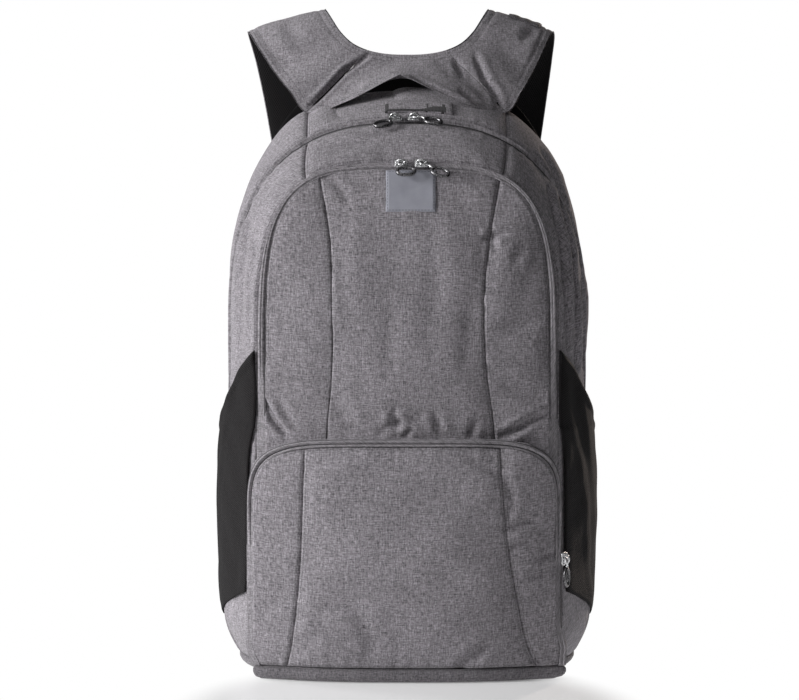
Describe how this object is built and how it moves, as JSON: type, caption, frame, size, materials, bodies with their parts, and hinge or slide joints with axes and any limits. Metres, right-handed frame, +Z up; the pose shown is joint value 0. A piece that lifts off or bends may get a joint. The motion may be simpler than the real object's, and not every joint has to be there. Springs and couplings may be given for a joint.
{
  "type": "backpack",
  "caption": "Soft day backpack standing upright: arched zips, zipped lower front pocket, stretch mesh side pockets and padded shoulder straps raised over a yoke.",
  "frame": {"origin": "centre of the bottom of the bounding box, on the floor that the bag stands on", "axes": "+Z up, -Y towards the front panel, +Y towards the wearer's side, +X to the right as seen from the front"},
  "size_m": [0.3184, 0.2564, 0.546],
  "materials": {
    "grey_cloth": "heathered woven polyester, matt",
    "black_mesh": "knitted mesh, matt",
    "zip_tape": "woven flap over a nylon coil",
    "webbing": "ribbed webbing",
    "label_cloth": "smooth, faint satin",
    "zip_metal": "satin",
    "buckle_plastic": "fine texture"
  },
  "bodies": {
    "root": {"main_wall_left": "grey_cloth", "main_wall_top": "grey_cloth", "main_wall_right": "grey_cloth", "front_wall_left": "grey_cloth", "front_wall_top": "grey_cloth", "front_wall_right": "grey_cloth", "main_zip": "zip_tape", "front_zip": "zip_tape", "front_panel_left": "grey_cloth", "front_panel_centre": "grey_cloth", "front_panel_right": "grey_cloth", "pocket_wall": "grey_cloth", "pocket_zip": "zip_tape", "pocket_panel_left": "grey_cloth", "pocket_panel_centre": "grey_cloth", "pocket_panel_right": "grey_cloth", "base_panel": "grey_cloth", "back_panel": "black_mesh", "side_pocket_left": "black_mesh", "side_pocket_right": "black_mesh", "yoke": "grey_cloth", "shoulder_strap_left": "grey_cloth", "shoulder_strap_right": "grey_cloth", "shoulder_tab_right": "webbing", "strap_buckle_left": "buckle_plastic", "strap_buckle_right": "buckle_plastic", "strap_loop_left": "webbing", "strap_loop_right": "webbing", "strap_webbing_left": "webbing", "strap_webbing_right": "webbing", "strap_anchor_left": "grey_cloth", "strap_anchor_right": "grey_cloth", "label": "label_cloth", "lock_tab": "webbing", "main_left_slider": "zip_metal", "main_left_pull": "zip_metal", "main_right_slider": "zip_metal", "main_right_pull": "zip_metal", "front_left_slider": "zip_metal", "front_left_pull": "zip_metal", "front_right_slider": "zip_metal", "front_right_pull": "zip_metal", "pocket_slider": "zip_metal", "pocket_pull": "zip_metal"}
  },
  "joints": []
}
